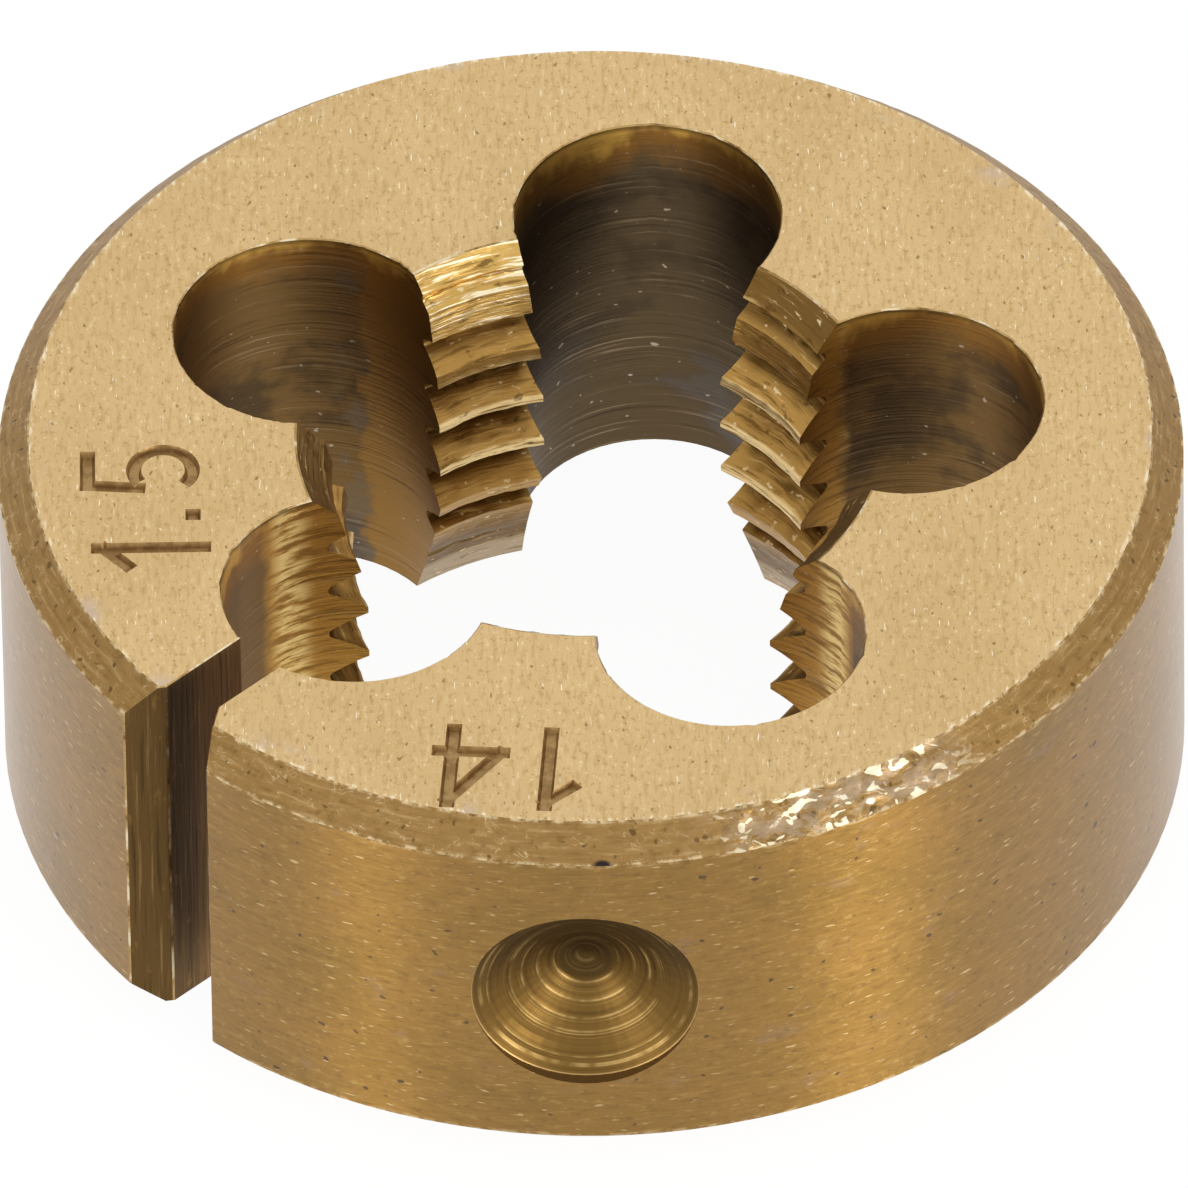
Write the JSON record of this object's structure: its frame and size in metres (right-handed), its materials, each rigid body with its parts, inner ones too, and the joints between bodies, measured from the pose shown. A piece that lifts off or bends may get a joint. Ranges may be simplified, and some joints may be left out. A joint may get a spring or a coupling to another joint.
{
  "type": "round threading die",
  "caption": "Round split threading die with chip holes round a threaded bore, an adjusting slit and a screw recess.",
  "frame": {"origin": "on the die's axis, in the plane of its lower, unmarked face", "axes": "+Z along the axis towards the marked face, the adjusting slit opens towards -Y"},
  "size_m": [0.03, 0.0299, 0.011],
  "materials": {
    "die_steel": "golden tan and matt, with ground faces"
  },
  "bodies": {
    "root": {"die_body": "die_steel"}
  },
  "joints": []
}
